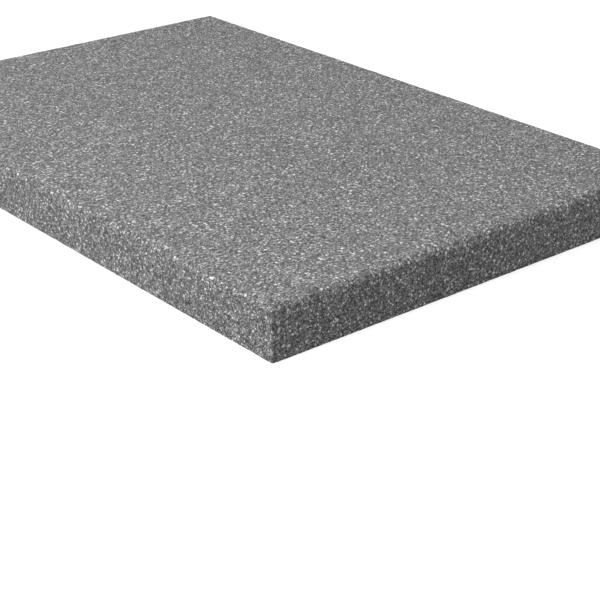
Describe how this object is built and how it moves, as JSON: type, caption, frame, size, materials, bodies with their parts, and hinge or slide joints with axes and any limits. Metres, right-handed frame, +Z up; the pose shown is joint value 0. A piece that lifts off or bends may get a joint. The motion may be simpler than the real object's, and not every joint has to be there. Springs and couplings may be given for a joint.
{
  "type": "acoustic foam mat",
  "caption": "Flat rectangular mat of dark grey open-cell foam with softly rounded upper edges, laid or glued down to absorb sound.",
  "frame": {"origin": "centre of the underside", "axes": "+X along the width, +Y along the length, +Z up through the thickness, from the underside to the upper face with its rounded edges"},
  "size_m": [0.2, 0.3, 0.02],
  "materials": {
    "foam": "matt open-cell polyurethane foam, neutral grey, with a fine glitter of cut cell skins"
  },
  "bodies": {
    "root": {"foam_mat": "foam"}
  },
  "joints": []
}
